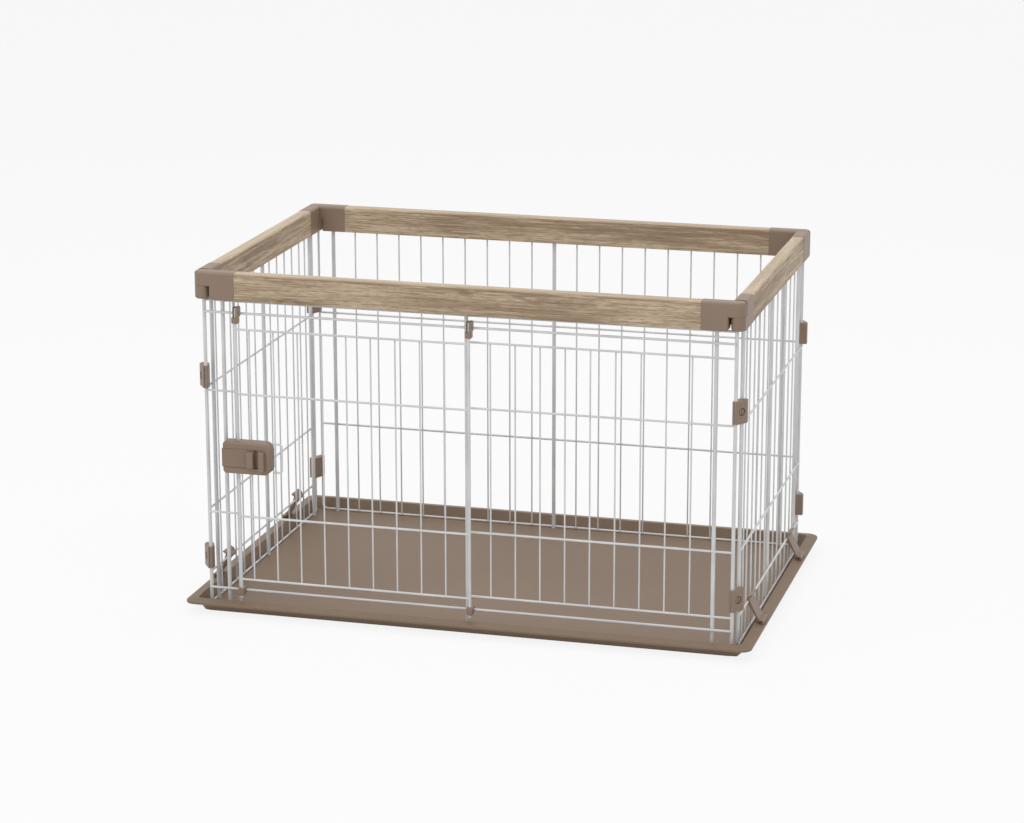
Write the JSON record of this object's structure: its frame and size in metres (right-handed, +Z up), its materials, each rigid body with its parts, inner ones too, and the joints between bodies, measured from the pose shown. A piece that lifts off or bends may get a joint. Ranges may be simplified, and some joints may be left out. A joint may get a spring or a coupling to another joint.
{
  "type": "dog playpen",
  "caption": "Wire dog playpen with wood-look top rails, a plastic tray and a sliding front door with a thumb latch",
  "frame": {"origin": "centre of the footprint, at the underside of the tray's feet", "axes": "+X right along the front, +Y to the back, +Z up"},
  "size_m": [0.944, 0.6366, 0.5714],
  "materials": {
    "tray_plastic": "moulded, fine texture",
    "cap_plastic": "moulded, satin",
    "rail_wood": "greyish oak print",
    "white_wire": "white powder coat",
    "bright_steel": "bright"
  },
  "bodies": {
    "pen": {"tray": "tray_plastic", "rail_front": "rail_wood", "rail_back": "rail_wood", "rail_left": "rail_wood", "rail_right": "rail_wood", "front_rail_cap_left": "cap_plastic", "left_rail_cap_front": "cap_plastic", "front_rail_cap_right": "cap_plastic", "right_rail_cap_front": "cap_plastic", "back_rail_cap_left": "cap_plastic", "left_rail_cap_back": "cap_plastic", "back_rail_cap_right": "cap_plastic", "right_rail_cap_back": "cap_plastic", "corner_pins": "bright_steel", "front_fixed_grid": "white_wire", "front_left_grid": "white_wire", "front_top_wire": "white_wire", "door_rail_wire": "white_wire", "door_lower_wire": "white_wire", "back_grid": "white_wire", "left_grid": "white_wire", "right_grid": "white_wire", "clip_front_left_lower": "cap_plastic", "clip_front_left_upper": "cap_plastic", "clip_front_right_lower": "cap_plastic", "clip_front_right_upper": "cap_plastic", "clip_back_left_lower": "cap_plastic", "clip_back_left_upper": "cap_plastic", "clip_back_right_lower": "cap_plastic", "clip_back_right_upper": "cap_plastic", "clip_pins": "cap_plastic"},
    "door": {"door_grid": "white_wire", "latch_bracket": "white_wire", "door_hook_left": "cap_plastic", "door_hook_right": "cap_plastic", "door_guide_left": "cap_plastic", "door_guide_right": "cap_plastic", "latch_housing": "cap_plastic", "latch_back_cover": "cap_plastic", "latch_spring": "bright_steel", "latch_screws": "bright_steel"},
    "latch_slider": {"latch_slider": "cap_plastic"},
    "lever_left_front": {"tray_lever_left_front": "cap_plastic"},
    "lever_left_back": {"tray_lever_left_back": "cap_plastic"},
    "lever_right_front": {"tray_lever_right_front": "cap_plastic"},
    "lever_right_back": {"tray_lever_right_back": "cap_plastic"}
  },
  "joints": [
    {"name": "door_slide", "type": "slide", "parent": "pen", "child": "door", "axis": [1, 0, 0], "range_m": [0, 0.37]},
    {"name": "latch_slide", "type": "slide", "parent": "door", "child": "latch_slider", "axis": [1, 0, 0], "range_m": [0, 0.006], "stiffness_N_per_m": 300, "springref_m": -0.006},
    {"name": "lever_left_front_turn", "type": "hinge", "parent": "pen", "child": "lever_left_front", "pos_m": [-0.443, -0.17325, 0.059], "axis": [0, 1, 0], "range_deg": [0, 75]},
    {"name": "lever_left_back_turn", "type": "hinge", "parent": "pen", "child": "lever_left_back", "pos_m": [-0.443, 0.17325, 0.059], "axis": [0, 1, 0], "range_deg": [0, 75]},
    {"name": "lever_right_front_turn", "type": "hinge", "parent": "pen", "child": "lever_right_front", "pos_m": [0.443, -0.17325, 0.059], "axis": [0, -1, 0], "range_deg": [0, 75]},
    {"name": "lever_right_back_turn", "type": "hinge", "parent": "pen", "child": "lever_right_back", "pos_m": [0.443, 0.17325, 0.059], "axis": [0, -1, 0], "range_deg": [0, 75]}
  ]
}
